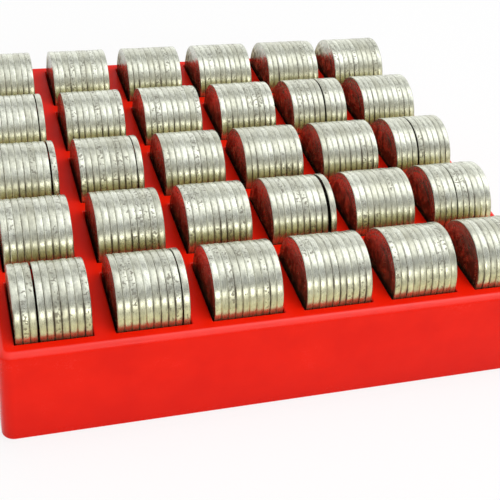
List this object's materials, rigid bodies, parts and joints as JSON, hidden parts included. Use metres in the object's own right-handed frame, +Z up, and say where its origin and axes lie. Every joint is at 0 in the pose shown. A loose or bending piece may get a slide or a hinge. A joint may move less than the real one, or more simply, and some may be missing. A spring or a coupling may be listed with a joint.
{
  "type": "coin organizer box",
  "caption": "Red moulded plastic coin tray, open underneath, with half-round pockets in its flat top that hold stacks of silver coins on edge.",
  "frame": {"origin": "centre of the tray's foot, on the surface that the tray stands on", "axes": "+Z up; +X to the right, along the axes of the coins; -Y towards the front wall"},
  "size_m": [0.1596, 0.1542, 0.0428],
  "materials": {
    "tray_plastic": "bright red moulded plastic, glossy on top and satin on the skirt",
    "coin_metal": "worn nickel-plated steel, silver rims with yellowish tarnish and small dark nicks"
  },
  "bodies": {
    "root": {"tray": "tray_plastic", "coin_stack_row1_col1": "coin_metal", "coin_stack_row1_col2": "coin_metal", "coin_stack_row1_col3": "coin_metal", "coin_stack_row1_col4": "coin_metal", "coin_stack_row1_col5": "coin_metal", "coin_stack_row1_col6": "coin_metal", "coin_stack_row2_col1": "coin_metal", "coin_stack_row2_col2": "coin_metal", "coin_stack_row2_col3": "coin_metal", "coin_stack_row2_col4": "coin_metal", "coin_stack_row2_col5": "coin_metal", "coin_stack_row2_col6": "coin_metal", "coin_stack_row3_col1": "coin_metal", "coin_stack_row3_col2": "coin_metal", "coin_stack_row3_col3": "coin_metal", "coin_stack_row3_col4": "coin_metal", "coin_stack_row3_col5": "coin_metal", "coin_stack_row3_col6": "coin_metal", "coin_stack_row4_col1": "coin_metal", "coin_stack_row4_col2": "coin_metal", "coin_stack_row4_col3": "coin_metal", "coin_stack_row4_col4": "coin_metal", "coin_stack_row4_col5": "coin_metal", "coin_stack_row4_col6": "coin_metal", "coin_stack_row5_col1": "coin_metal", "coin_stack_row5_col2": "coin_metal", "coin_stack_row5_col3": "coin_metal", "coin_stack_row5_col4": "coin_metal", "coin_stack_row5_col5": "coin_metal", "coin_stack_row5_col6": "coin_metal"}
  },
  "joints": []
}
